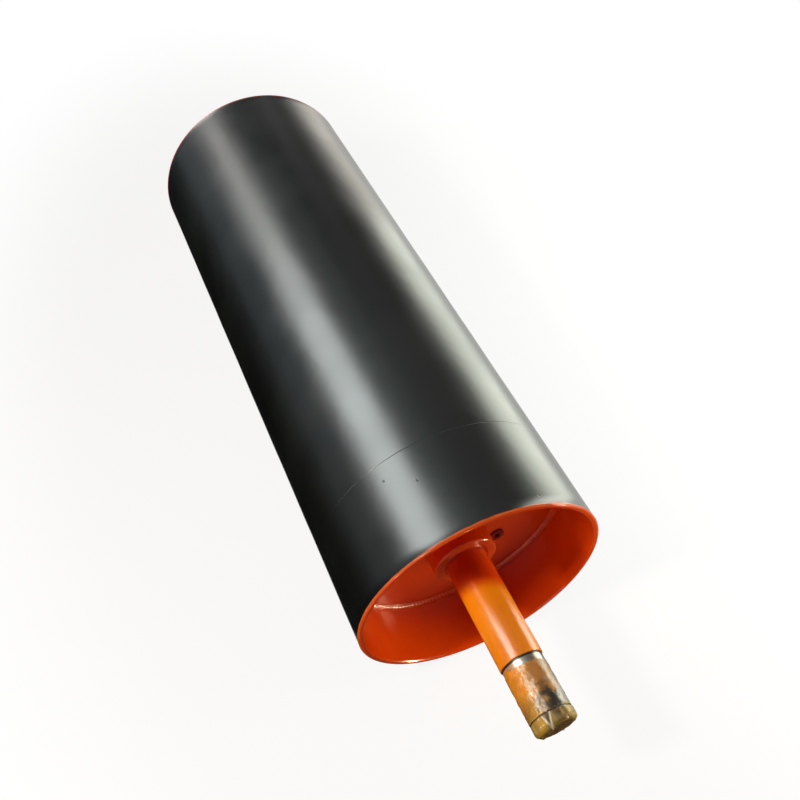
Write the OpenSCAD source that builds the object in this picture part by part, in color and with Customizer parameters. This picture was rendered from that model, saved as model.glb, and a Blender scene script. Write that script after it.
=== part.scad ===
// Bend pulley for a belt conveyor, drawn as the separate pieces that it is made of.
// A rubber-covered steel drum is welded to two end discs and two hubs, and the hubs are shrunk and keyed
// onto a live shaft. The bearings that carry the two ground journals stand outside the pulley.
// The origin is the centre of the drum on the shaft's axis. The shaft runs along Y, and the near end is -Y.

/* [Shell] */
// Outside diameter of the steel shell, without its rubber cover
shell_d = 500; // [420:1:640]
// Length of the shell, which is the pulley's face width
shell_length = 1400; // [950:10:1800]
// Thickness of the plate that the shell is rolled from
shell_wall = 10; // [8:0.5:16]
// Depth to which the bore is turned out at each end, as a register for the end disc
register_depth = 1; // [0.5:0.1:2]
// Radius along the outer edge of each rim
rim_round = 1.5; // [0.5:0.1:2.5]
// Bevel along the inner edge of each rim
rim_bevel = 1.5; // [0.5:0.1:2.5]

/* [Seam weld] */
// Place of the lengthwise seam round the shell, in degrees from +X towards +Z
seam_angle = 62; // [0:1:359]
// Width of the seam weld at the outside of the plate
seam_w = 14; // [8:0.5:20]
// Width of the seam weld at its root
seam_root_w = 3; // [2:0.5:6]
// Height of the root bead inside the drum
seam_bead_h = 1.5; // [0.5:0.1:3]

/* [Rubber cover] */
// Thickness of the rubber sheet
lagging_t = 3; // [2:0.5:10]
// Width of the strip that makes up the near end of the face
lagging_strip_w = 200; // [80:5:400]
// Radius along the cover's two outer edges
lagging_round = 1.5; // [0.5:0.1:2]
// Bevel along the edges that butt against each other
lagging_bevel = 0.6; // [0.2:0.1:1.5]
// Place of the sheet's lengthwise joint, in degrees from +X towards +Z
sheet_joint_angle = 285; // [0:1:359]
// Place of the strip's lengthwise joint, in degrees from +X towards +Z
strip_joint_angle = 250; // [0:1:359]

/* [End discs] */
// Distance from each rim in to the outer face of the disc
disc_recess = 130; // [80:1:220]
// Thickness of the disc
disc_t = 18; // [14:0.5:30]
// Radial gap left round the disc and round the hub before they are welded
weld_gap = 0.2; // [0.05:0.05:0.5]
// Weld preparation bevelled onto the disc's edges
disc_prep = 5; // [3:0.5:6]

/* [Hubs] */
// Outside diameter of the hub
hub_d = 132; // [122:1:180]
// Height by which the hub stands out of the disc's outer face
hub_proud = 62; // [30:1:75]
// Height by which the hub stands out of the disc's inner face
hub_inner = 30; // [16:1:60]
// Radius along the hub's outer edges
hub_round = 4; // [1:0.5:6]
// Chamfer at each mouth of the hub's bore
hub_chamfer = 3; // [2:0.5:4]

/* [Shaft] */
// Diameter of the two ground journals that take the bearings
journal_d = 80; // [60:1:82]
// Length of each journal, from its shoulder to the end face
journal_length = 124; // [110:1:200]
// Distance from the drum's rim out to the journal's shoulder
journal_offset = 157; // [60:1:300]
// Diameter of the painted part between journal and hub
outboard_d = 85; // [84:0.5:88]
// Diameter of the seat in the hub
seat_d = 90; // [89:0.5:94]
// Diameter of the shaft between the two hubs
shaft_mid_d = 106; // [100:1:118]
// Fillet where the hub seat meets the middle of the shaft
seat_fillet = 2; // [1:0.5:2]
// Small chamfer on the shaft's shoulders
shoulder_chamfer = 1; // [0.5:0.5:1.5]
// Chamfer on the shaft's two ends
end_chamfer = 3; // [1:0.5:5]
// Width of the grinding relief at the journal's shoulder
relief_w = 4; // [2:0.5:6]
// Depth of the grinding relief
relief_depth = 0.6; // [0.3:0.1:1]
// Length of bearing seat between the relief and the ring groove
bearing_seat = 100; // [60:1:100]
// Width of the retaining ring's groove
ring_groove_w = 2.65; // [2:0.05:3.5]
// Depth of the retaining ring's groove
ring_groove_depth = 1.75; // [1:0.05:2.5]
// Diameter at the mouth of the centre hole
centre_mouth_d = 21; // [12:1:30]
// Diameter of the centre hole's pilot
centre_pilot_d = 10; // [5:0.5:11]
// Depth of the centre hole's pilot
centre_depth = 28; // [20:1:50]

/* [Keys] */
// Width of the key
key_w = 25; // [18:1:28]
// Height of the key
key_h = 14; // [12:1:16]
// Length of the key over its round ends
key_length = 80; // [50:1:90]
// Depth of the keyway in the shaft
key_depth = 9; // [7:0.5:10]
// Clearance over the key in the hub
key_top_gap = 0.4; // [0.2:0.1:1]
// Clearance on each side of the key
key_side_gap = 0.02; // [0:0.01:0.05]
// Place of the keys round the shaft, in degrees from +X towards +Z
key_angle = 270; // [0:1:359]

/* [Welds] */
// Leg of the fillet weld between disc and shell
disc_weld_leg = 9; // [7:0.5:14]
// Leg of the fillet welds between hub and disc
hub_weld_leg = 10; // [7:0.5:14]
// Height of a weld's crown over a flat fillet
weld_crown = 1.2; // [0:0.1:2]

/* [Vent plug] */
// Distance from the shaft's axis to the vent hole in the near disc
vent_offset = 118; // [105:1:150]
// Place of the vent hole, in degrees from +X towards +Z
vent_angle = 330; // [0:1:359]
// Diameter of the plug's thread
vent_thread_d = 26.4; // [16:0.2:32]
// Length of the plug's thread
vent_thread_length = 14; // [8:0.5:14]
// Chamfer at the inner end of the plug's thread
vent_lead = 1.5; // [0.5:0.5:2]
// Width of the flat collar beyond the thread, all round
vent_collar_w = 3; // [2:0.5:6]
// Thickness of the collar
vent_collar_t = 5; // [3:0.5:8]
// Size across the flats of the hexagon socket
vent_socket = 12; // [8:1:13]
// Depth of the hexagon socket
vent_socket_depth = 9; // [6:0.5:10]

/* [Hidden] */

$fn = 96;
eps = 1;                 // how far a cut runs past the face that it opens
arc_steps = 6;           // straight steps in each rounded edge
crown_steps = 8;         // straight steps across a weld's crown
centre_cone_angle = 60;  // standard angle of a centre hole

// Colours
orange = [0.80, 0.27, 0.06];
ground_steel = [0.72, 0.72, 0.70];
plain_steel = [0.45, 0.45, 0.46];
black_rubber = [0.10, 0.11, 0.11];
black_oxide = [0.12, 0.11, 0.12];

// Radii of the drum
shell_r = shell_d / 2;
bore_r = shell_r - shell_wall;
register_r = bore_r + register_depth;
cover_r = shell_r + lagging_t;
disc_r = register_r - weld_gap;

// Heights along the shaft, from the middle of the drum out towards either end
half_length = shell_length / 2;
disc_face = half_length - disc_recess;
disc_back = disc_face - disc_t;
hub_face = disc_face + hub_proud;
hub_back = disc_back - hub_inner;
cover_end = half_length - rim_round;
cover_joint = half_length - lagging_strip_w;
journal_shoulder = half_length + journal_offset;
shaft_end = journal_shoulder + journal_length;
groove_inner = journal_shoulder + relief_w + bearing_seat;
groove_outer = groove_inner + ring_groove_w;
seat_end = hub_face - hub_chamfer;
key_middle = (hub_face + hub_back) / 2;

// Radii of the hub and the shaft
hub_r = hub_d / 2;
journal_r = journal_d / 2;
outboard_r = outboard_d / 2;
seat_r = seat_d / 2;
shaft_mid_r = shaft_mid_d / 2;
seat_step = seat_r - outboard_r;
key_floor = seat_r - key_depth;
hub_keyway_r = key_floor + key_h + key_top_gap;
vent_r = vent_thread_d / 2;

// Points of an arc from angle a to angle b. The outlines that use it are drawn as [radius, height].
function arc(centre, r, a, b, steps = arc_steps) =
    [for (i = [0 : steps]) centre + r * [cos(a + (b - a) * i / steps), sin(a + (b - a) * i / steps)]];

// The same points in reverse order, mirrored to the far end
function far_half(points) =
    [for (i = [len(points) - 1 : -1 : 0]) [points[i][0], -points[i][1]]];

// Turns what is drawn round Z onto the shaft's axis: up becomes the near end, and Y becomes up
module on_axis() {
    rotate([90, 0, 0]) children();
}

// Moves a piece of the near end to the far end
module far_end() {
    mirror([0, 1, 0]) children();
}

// Long wedge through the shell's wall: the V that the seam weld fills
module seam_wedge() {
    rotate(seam_angle)
        linear_extrude(shell_length + 2 * eps, center = true)
            polygon([
                [bore_r - seam_bead_h - eps, -seam_root_w / 2],
                [bore_r, -seam_root_w / 2],
                [shell_r, -seam_w / 2],
                [shell_r + eps, -seam_w / 2],
                [shell_r + eps, seam_w / 2],
                [shell_r, seam_w / 2],
                [bore_r, seam_root_w / 2],
                [bore_r - seam_bead_h - eps, seam_root_w / 2]
            ]);
}

// Rolled plate before its seam is opened, turned at the rims and bored for the discs
module shell_blank() {
    near_half = concat(
        [[bore_r, disc_back], [register_r, disc_back],
         [register_r, half_length - rim_bevel], [register_r + rim_bevel, half_length]],
        arc([shell_r - rim_round, half_length - rim_round], rim_round, 90, 0)
    );
    rotate_extrude($fn = 180)
        polygon(concat(near_half, far_half(near_half)));
}

module shell() {
    color(orange)
        on_axis()
            difference() {
                shell_blank();
                seam_wedge();
            }
}

// The seam is dressed flush outside and in the registers, and keeps its root bead between the discs
module shell_seam_weld() {
    root_width = seam_root_w + 4 * seam_bead_h;
    bead_r = (pow(root_width / 2, 2) + pow(seam_bead_h, 2)) / (2 * seam_bead_h);
    color(orange)
        on_axis()
            union() {
                intersection() {
                    shell_blank();
                    seam_wedge();
                }
                rotate(seam_angle)
                    linear_extrude(2 * disc_back, center = true)
                        intersection() {
                            translate([bore_r - seam_bead_h + bead_r, 0]) circle(bead_r);
                            circle(bore_r, $fn = 180);
                        }
            }
}

// Fine V where the two ends of a rubber sheet meet after it is laid round the shell
module lagging_notch(angle) {
    rotate(angle)
        linear_extrude(shell_length, center = true)
            polygon([
                [cover_r + eps, -lagging_bevel - eps],
                [cover_r - lagging_bevel, 0],
                [cover_r + eps, lagging_bevel + eps]
            ]);
}

module lagging_sheet() {
    near_edge = arc([cover_r - lagging_bevel, cover_joint - lagging_bevel], lagging_bevel, 90, 0, 1);
    far_edge = arc([cover_r - lagging_round, lagging_round - cover_end], lagging_round, 0, -90);
    color(black_rubber)
        on_axis()
            difference() {
                rotate_extrude($fn = 180)
                    polygon(concat([[shell_r, -cover_end], [shell_r, cover_joint]], near_edge, far_edge));
                lagging_notch(sheet_joint_angle);
            }
}

module lagging_strip() {
    near_edge = arc([cover_r - lagging_round, cover_end - lagging_round], lagging_round, 90, 0);
    far_edge = arc([cover_r - lagging_bevel, cover_joint + lagging_bevel], lagging_bevel, 0, -90, 1);
    color(black_rubber)
        on_axis()
            difference() {
                rotate_extrude($fn = 180)
                    polygon(concat([[shell_r, cover_joint], [shell_r, cover_end]], near_edge, far_edge));
                lagging_notch(strip_joint_angle);
            }
}

// Flat disc, bevelled for its welds: both edges of the outer face, and the bore's edge at the back
module disc_plate() {
    hole_r = hub_r + weld_gap;
    on_axis()
        rotate_extrude($fn = 180)
            polygon([
                [hole_r + disc_prep, disc_back],
                [disc_r, disc_back],
                [disc_r, disc_face - disc_prep],
                [disc_r - disc_prep, disc_face],
                [hole_r + disc_prep, disc_face],
                [hole_r, disc_face - disc_prep],
                [hole_r, disc_back + disc_prep]
            ]);
}

// Puts a piece over the vent hole, with the disc's outer face at height 0
module at_vent() {
    on_axis()
        translate([vent_offset * cos(vent_angle), vent_offset * sin(vent_angle), disc_face])
            children();
}

module end_disc_near() {
    color(orange)
        difference() {
            disc_plate();
            at_vent()
                translate([0, 0, -disc_t - eps])
                    cylinder(r = vent_r, h = disc_t + 2 * eps, $fn = 48);
        }
}

module end_disc_far() {
    color(orange)
        far_end() disc_plate();
}

// Turned hub with a keyway broached right through
module hub() {
    color(orange)
        on_axis()
            difference() {
                rotate_extrude()
                    polygon(concat(
                        [[seat_r, hub_back + hub_chamfer], [seat_r, hub_face - hub_chamfer],
                         [seat_r + hub_chamfer, hub_face]],
                        arc([hub_r - hub_round, hub_face - hub_round], hub_round, 90, 0),
                        arc([hub_r - hub_round, hub_back + hub_round], hub_round, 0, -90),
                        [[seat_r + hub_chamfer, hub_back]]
                    ));
                rotate(key_angle)
                    translate([0, -key_w / 2 - key_side_gap, hub_back - eps])
                        cube([hub_keyway_r, key_w + 2 * key_side_gap, hub_face - hub_back + 2 * eps]);
            }
}

module hub_near() {
    hub();
}

module hub_far() {
    far_end() hub();
}

// Outline of a round-ended key, lengthwise along X
module key_outline(width, length) {
    end_x = (length - width) / 2;
    square([2 * end_x, width], center = true);
    for (side = [-1, 1])
        translate([side * end_x, 0]) circle(d = width, $fn = 48);
}

// Round-ended block that stands in the keyway from its floor, for the key and for the cut in the shaft
module key_block(width, length, height) {
    rotate(key_angle)
        translate([key_floor, 0, key_middle])
            rotate([0, 90, 0])
                linear_extrude(height) key_outline(width, length);
}

// Straight hole with a 60 degree mouth, drilled into the near end of the shaft
module centre_hole() {
    cone_depth = (centre_mouth_d - centre_pilot_d) / 2 / tan(centre_cone_angle / 2);
    translate([0, 0, shaft_end - centre_depth])
        cylinder(d = centre_pilot_d, h = centre_depth + eps, $fn = 32);
    translate([0, 0, shaft_end - cone_depth])
        cylinder(d1 = centre_pilot_d, d2 = centre_mouth_d, h = cone_depth, $fn = 48);
    translate([0, 0, shaft_end])
        cylinder(d = centre_mouth_d, h = eps, $fn = 48);
}

module shaft() {
    // from the near end face in to the middle of the shaft
    near_half = concat(
        [[0, shaft_end], [journal_r - end_chamfer, shaft_end], [journal_r, shaft_end - end_chamfer],
         [journal_r, groove_outer], [journal_r - ring_groove_depth, groove_outer],
         [journal_r - ring_groove_depth, groove_inner], [journal_r, groove_inner],
         [journal_r, journal_shoulder + relief_w],
         [journal_r - relief_depth, journal_shoulder + relief_w],
         [journal_r - relief_depth, journal_shoulder],
         [outboard_r - shoulder_chamfer, journal_shoulder],
         [outboard_r, journal_shoulder - shoulder_chamfer]],
        arc([seat_r, seat_end + seat_step], seat_step, 180, 270),
        arc([seat_r + seat_fillet, hub_back + seat_fillet], seat_fillet, 180, 270),
        [[shaft_mid_r - shoulder_chamfer, hub_back], [shaft_mid_r, hub_back - shoulder_chamfer]]
    );
    color(ground_steel)
        difference() {
            on_axis()
                rotate_extrude()
                    polygon(concat(near_half, far_half(near_half)));
            for (side = [0, 1])
                mirror([0, side, 0])
                    on_axis() {
                        centre_hole();
                        key_block(key_w, key_length, key_depth + eps);
                    }
        }
}

module key() {
    color(plain_steel)
        on_axis()
            key_block(key_w - 2 * key_side_gap, key_length - 2 * key_side_gap, key_h);
}

module key_near() {
    key();
}

module key_far() {
    far_end() key();
}

// Ring of weld in the corner between a wall at radius r and the disc's face at the given height.
// inward is 1 where the disc lies inside the wall, and -1 where it lies outside. up is 1 on the outer face.
module weld_ring(r, height, inward, up, leg) {
    foot = [r - inward * leg, height];
    top = [r, height + up * leg];
    crown_way = [-inward, up] / sqrt(2);
    crown = [for (i = [0 : crown_steps])
        foot + (top - foot) * i / crown_steps + weld_crown * sin(180 * i / crown_steps) * crown_way];
    root = [
        [r, height - up * disc_prep],
        [r - inward * weld_gap, height - up * disc_prep],
        [r - inward * (weld_gap + disc_prep), height]
    ];
    color(orange)
        on_axis()
            rotate_extrude($fn = 180)
                polygon(concat(crown, root));
}

module disc_weld_near() {
    weld_ring(register_r, disc_face, 1, 1, disc_weld_leg);
}

module disc_weld_far() {
    far_end() disc_weld_near();
}

module hub_outer_weld_near() {
    weld_ring(hub_r, disc_face, -1, 1, hub_weld_leg);
}

module hub_outer_weld_far() {
    far_end() hub_outer_weld_near();
}

module hub_inner_weld_near() {
    weld_ring(hub_r, disc_back, -1, -1, hub_weld_leg);
}

module hub_inner_weld_far() {
    far_end() hub_inner_weld_near();
}

// Screw plug with a flat collar and a hexagon socket, which closes the vent hole
module vent_plug() {
    collar_r = vent_r + vent_collar_w;
    collar_bevel = vent_collar_t / 5;
    color(black_oxide)
        at_vent()
            difference() {
                rotate_extrude($fn = 48)
                    polygon([
                        [0, -vent_thread_length],
                        [vent_r - vent_lead, -vent_thread_length],
                        [vent_r, vent_lead - vent_thread_length],
                        [vent_r, 0],
                        [collar_r, 0],
                        [collar_r, vent_collar_t - collar_bevel],
                        [collar_r - collar_bevel, vent_collar_t],
                        [0, vent_collar_t]
                    ]);
                translate([0, 0, vent_collar_t - vent_socket_depth])
                    cylinder(d = vent_socket / cos(30), h = vent_socket_depth + eps, $fn = 6);
            }
}

shell();
shell_seam_weld();
lagging_sheet();
lagging_strip();
end_disc_near();
end_disc_far();
hub_near();
hub_far();
shaft();
key_near();
key_far();
disc_weld_near();
disc_weld_far();
hub_outer_weld_near();
hub_outer_weld_far();
hub_inner_weld_near();
hub_inner_weld_far();
vent_plug();
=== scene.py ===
from math import atan2, cos, degrees, pi, radians, sin, sqrt, tan

import bpy
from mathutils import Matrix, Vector


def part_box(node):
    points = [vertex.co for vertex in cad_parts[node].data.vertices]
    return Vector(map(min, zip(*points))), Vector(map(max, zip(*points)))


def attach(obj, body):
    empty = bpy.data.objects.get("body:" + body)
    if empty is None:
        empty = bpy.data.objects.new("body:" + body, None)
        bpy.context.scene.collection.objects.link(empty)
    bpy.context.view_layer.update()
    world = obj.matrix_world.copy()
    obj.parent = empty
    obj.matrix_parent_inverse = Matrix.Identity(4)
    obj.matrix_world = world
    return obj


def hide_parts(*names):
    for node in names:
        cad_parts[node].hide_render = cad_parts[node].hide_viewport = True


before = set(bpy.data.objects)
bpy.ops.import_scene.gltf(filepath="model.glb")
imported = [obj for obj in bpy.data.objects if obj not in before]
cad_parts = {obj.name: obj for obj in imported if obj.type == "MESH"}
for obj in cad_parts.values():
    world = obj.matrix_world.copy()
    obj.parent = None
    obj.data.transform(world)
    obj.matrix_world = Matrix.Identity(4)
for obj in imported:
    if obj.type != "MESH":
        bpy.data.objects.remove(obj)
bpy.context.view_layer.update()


# ---- Camera -------------------------------------------------------------------------------------
# The pulley is seen from above its near end, a little to the left of its axis, from about two metres.
camera_place = Vector((-0.463, -1.377, 1.525))
camera_aim = Vector((0.25507, 0.58842, -0.76727))
half_field = radians(48.374 / 2)

bpy.ops.object.camera_add(location=camera_place, rotation=camera_aim.to_track_quat("-Z", "Y").to_euler())
camera = bpy.context.object
camera.data.sensor_width = 36
camera.data.angle = 2 * half_field
bpy.context.scene.camera = camera
bpy.context.scene.view_settings.view_transform = "Standard"


# ---- Floor, background and lamps ----------------------------------------------------------------
# A pale matt studio floor, on which the pulley lies on its rubber face. The floor and the background
# are white to the eye and in reflections, and the floor round the pulley keeps its shadow.
floor_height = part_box("lagging_sheet")[0].z
floor_size = 60.0


def linear(hex_colour):
    """sRGB hex, such as "c8501e", to linear red, green and blue with an alpha of 1."""
    channels = [int(hex_colour[i:i + 2], 16) / 255 for i in (0, 2, 4)]
    return tuple(c / 12.92 if c <= 0.04045 else ((c + 0.055) / 1.055) ** 2.4 for c in channels) + (1.0,)


def add(tree, kind, settings=None, **inputs):
    """Adds a node, sets its properties, and sets or links its inputs. Underscores stand for spaces."""
    new = tree.nodes.new(kind)
    for name, value in (settings or {}).items():
        setattr(new, name, value)
    for name, value in inputs.items():
        key = int(name[1:]) if name[0] == "i" and name[1:].isdigit() else name.replace("_", " ")
        if isinstance(value, bpy.types.NodeSocket):
            tree.links.new(value, new.inputs[key])
        else:
            new.inputs[key].default_value = value
    return new


def seen_or_reflected(tree):
    """1 for rays from the camera, a reflection or a see-through piece, and 0 for rays that light things."""
    path = add(tree, "ShaderNodeLightPath")
    seen = add(tree, "ShaderNodeMath", {"operation": "MAXIMUM"},
               i0=path.outputs["Is Camera Ray"], i1=path.outputs["Is Glossy Ray"])
    return add(tree, "ShaderNodeMath", {"operation": "MAXIMUM"},
               i0=seen.outputs[0], i1=path.outputs["Is Transmission Ray"]).outputs[0]


world = bpy.data.worlds.new("white_studio")
world.use_nodes = True
bpy.context.scene.world = world
tree = world.node_tree
tree.nodes.clear()
fill_light = 0.02
strength = add(tree, "ShaderNodeMapRange", i0=seen_or_reflected(tree), i3=fill_light, i4=1.0)
background = add(tree, "ShaderNodeBackground", Color=linear("ffffff"), Strength=strength.outputs[0])
add(tree, "ShaderNodeOutputWorld", Surface=background.outputs[0])

bpy.ops.mesh.primitive_plane_add(size=floor_size, location=(0, 0, floor_height))
floor = bpy.context.object
floor.name = "studio_floor"
floor_paint = bpy.data.materials.new("pale_floor_paint")
floor_paint.use_nodes = True
tree = floor_paint.node_tree
tree.nodes.clear()
on_floor = add(tree, "ShaderNodeTexCoord").outputs["Object"]
on_floor = add(tree, "ShaderNodeMapping", Vector=on_floor, Scale=(1, 0.5, 1))
away = add(tree, "ShaderNodeVectorMath", {"operation": "LENGTH"}, i0=on_floor.outputs[0])
whiteness = add(tree, "ShaderNodeMapRange", {"interpolation_type": "SMOOTHSTEP"}, i0=away.outputs["Value"],
                i1=0.6, i2=1.12, i3=0.86, i4=1.0)
matt = add(tree, "ShaderNodeBsdfDiffuse", Color=linear("e8e8e6"))
glow = add(tree, "ShaderNodeEmission", Color=linear("ffffff"), Strength=1.0)
share = add(tree, "ShaderNodeMath", {"operation": "MULTIPLY"}, i0=seen_or_reflected(tree),
            i1=whiteness.outputs[0])
mixed = add(tree, "ShaderNodeMixShader", i0=share.outputs[0], i1=matt.outputs[0], i2=glow.outputs[0])
add(tree, "ShaderNodeOutputMaterial", Surface=mixed.outputs[0])
floor.data.materials.append(floor_paint)


def area_lamp(name, place, aim, width, length, watts, colour, matt=True, gloss=True):
    """Soft rectangular lamp, its length along the pulley's axis. It may light only matt or only gloss."""
    bpy.ops.object.light_add(type="AREA", location=place)
    lamp = bpy.context.object
    lamp.name = name
    lamp.rotation_euler = (Vector(aim) - Vector(place)).to_track_quat("-Z", "Y").to_euler()
    lamp.data.shape = "RECTANGLE"
    lamp.data.size = length
    lamp.data.size_y = width
    lamp.data.energy = watts
    lamp.data.color = linear(colour)[:3]
    lamp.visible_camera = False
    lamp.visible_diffuse = matt
    lamp.visible_glossy = gloss


area_lamp("overhead_lamp", (-1.75, -0.71, 1.85), (-0.03, -0.74, 0), 0.25, 0.25, 42, "fff0dc")
area_lamp("left_lamp", (-2.4, -0.9, 0.9), (0, -0.76, 0), 0.3, 0.3, 20, "fff0dc")
area_lamp("front_lamp", (1.3, -1.87, 0.15), (-0.12, -0.6, -0.15), 0.8, 0.8, 5.4, "fff6ec", gloss=False)
area_lamp("glint_lamp", (2.2, -2.1, -0.16), (-0.15, -0.6, -0.18), 0.16, 0.50, 90, "ffd6a4", matt=False)
area_lamp("right_near_lamp", (1.15, -1.0, 0.12), (0, -0.9, 0.1), 0.68, 0.36, 10, "fff6ec", gloss=False)
area_lamp("right_panel_lamp", (1.15, -0.22, 0.12), (0, -0.22, 0.1), 0.68, 1.05, 13, "faffec")
area_lamp("right_panel_middle_lamp", (1.15, 0.75, 0.10), (0, 0.75, 0.1), 0.68, 0.9, 7.4, "faffec")
area_lamp("right_panel_far_lamp", (1.15, 1.95, 0.06), (0, 1.95, 0.1), 0.60, 1.5, 5.0, "fff6e2")
area_lamp("back_strip_lamp", (-1.86, 1.35, 2.5), (-0.1, 1.35, 0.2), 1.7, 3.0, 195, "f6fffd", matt=False)
area_lamp("back_strip_far_lamp", (-1.86, 4.15, 2.5), (-0.1, 4.15, 0.2), 1.1, 2.6, 36, "fffbf4", matt=False)


def studio_card(name, place, turn, width, length, grey, tilt=0, tint="ffffff"):
    """Flat card of one plain level that only reflections meet. Untilted, its length runs along the axis."""
    bpy.ops.mesh.primitive_plane_add(size=1, location=place, rotation=(radians(tilt), radians(turn), 0))
    card = bpy.context.object
    card.name = name
    card.scale = (width, length, 1)
    card_paper = bpy.data.materials.new(name + "_paper")
    card_paper.use_nodes = True
    card_paper.node_tree.nodes.clear()
    glow = add(card_paper.node_tree, "ShaderNodeEmission", Color=linear(tint), Strength=grey)
    add(card_paper.node_tree, "ShaderNodeOutputMaterial", Surface=glow.outputs[0])
    card.data.materials.append(card_paper)
    card.visible_camera = card.visible_diffuse = card.visible_shadow = card.visible_transmission = False


studio_card("left_inner_floor_card", (-0.58, 1.5, floor_height + 0.001), 0, 0.64, 4.6, 0.0)
studio_card("left_outer_floor_card", (-1.70, 1.5, floor_height + 0.001), 0, 1.60, 4.6, 0.04)
studio_card("left_low_wall_card", (-2.5, 2.2, 0.20), 90, 0.90, 5.8, 0.40, tint="e6f6fc")
studio_card("left_high_wall_card", (-2.5, 2.2, 1.05), 90, 0.80, 5.8, 0.29, tint="d2ecf6")
studio_card("middle_ceiling_card", (-0.15, 1.2, 2.9), 0, 1.3, 4.4, 0.72, tint="eafcf8")
studio_card("middle_ceiling_far_card", (-0.15, 5.1, 2.9), 0, 1.3, 3.4, 0.0)
studio_card("right_ceiling_card", (1.05, 1.2, 2.9), 0, 1.1, 4.4, 0.38)
studio_card("right_ceiling_far_card", (1.05, 5.1, 2.9), 0, 1.1, 3.4, 0.0)
studio_card("right_ceiling_edge_card", (2.1, 2.9, 2.9), 0, 1.0, 7.8, 0.33)
studio_card("right_high_wall_card", (2.6, 3.1, 2.45), 90, 0.9, 7.0, 0.13)
studio_card("right_low_wall_card", (2.6, 3.1, 1.60), 90, 0.8, 7.0, 0.0)
studio_card("right_floor_card", (1.05, 1.3, floor_height + 0.001), 0, 1.56, 3.6, 0.90)
studio_card("front_floor_card", (0.5, -1.47, floor_height + 0.002), 0, 2.2, 1.56, 0.02)
studio_card("front_wall_card", (1.2, -3.4, 1.3), 0, 6.0, 4.0, 0.02, tilt=90)


# ---- Shell --------------------------------------------------------------------------------------
# Steel plate rolled into a tube, turned at both rims and bored inside them to seat the end discs.
# It is enamelled orange inside the rims and on their edges. Between the discs its bore is never seen.
shell_low, shell_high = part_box("shell")
disc_low, disc_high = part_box("end_disc_near")
shell_radius = (shell_high.x - shell_low.x) / 2
rim = shell_high.y                            # height of each rim along the shaft, from the middle
disc_face = -disc_low.y
disc_back = -disc_high.y
shell_wall = 0.010
register_depth = 0.001
bore_radius = shell_radius - shell_wall
register_radius = bore_radius + register_depth
rim_round = 0.0015
rim_bevel = 0.0018


def arc(centre, r, start, end, steps=6):
    """Points of an arc, as (radius, height), between two angles in degrees."""
    turns = [radians(start + (end - start) * i / steps) for i in range(steps + 1)]
    return [(centre[0] + r * cos(t), centre[1] + r * sin(t)) for t in turns]


def mirrored(half):
    """The same points in reverse order, at the other end."""
    return [(r, -y) for r, y in reversed(half)]


def turned(name, outline, steps=256, sweep=360.0):
    """Draws an outline of (radius, height, lag) point by point and spins it round the shaft, in degrees.

    A point's lag, which may be left out, is how far it stands back round the turn.
    """
    points = [(p[0], p[1], p[2] if len(p) > 2 else 0.0) for p in outline]
    bpy.ops.object.select_all(action="DESELECT")
    bpy.ops.mesh.primitive_plane_add(size=0.001, location=points[0])
    piece = bpy.context.object
    piece.name = name
    bpy.ops.object.transform_apply(location=True, rotation=True, scale=True)
    bpy.ops.object.mode_set(mode="EDIT")
    bpy.ops.mesh.merge(type="CENTER")
    for p, q in zip(points, points[1:]):
        step = (q[0] - p[0], q[1] - p[1], q[2] - p[2])
        bpy.ops.mesh.extrude_region_move(TRANSFORM_OT_translate={"value": step})
    bpy.ops.mesh.select_all(action="SELECT")
    bpy.ops.mesh.spin(steps=steps, angle=radians(sweep), center=(0, 0, 0), axis=(0, 1, 0))
    bpy.ops.mesh.select_all(action="SELECT")
    bpy.ops.mesh.remove_doubles(threshold=0.000005)
    if sweep < 360:
        bpy.ops.mesh.fill_holes(sides=0)
        bpy.ops.mesh.select_all(action="SELECT")
    bpy.ops.mesh.normals_make_consistent(inside=False)
    bpy.ops.object.mode_set(mode="OBJECT")
    bpy.ops.object.shade_smooth_by_angle(angle=radians(32))
    return piece


def dress(piece, slot, materials, *nodes):
    """Gives a finished piece its materials, and lets it ride and stand for its CAD nodes."""
    piece.data.materials.clear()
    for material in materials:
        piece.data.materials.append(material)
    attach(piece, "root")
    if nodes:
        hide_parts(*nodes)


def new_material(name):
    """A new material with an empty node tree, and its Object coordinates."""
    material = bpy.data.materials.new(name)
    material.use_nodes = True
    material.node_tree.nodes.clear()
    place = add(material.node_tree, "ShaderNodeTexCoord").outputs["Object"]
    return material, material.node_tree, place


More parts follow.
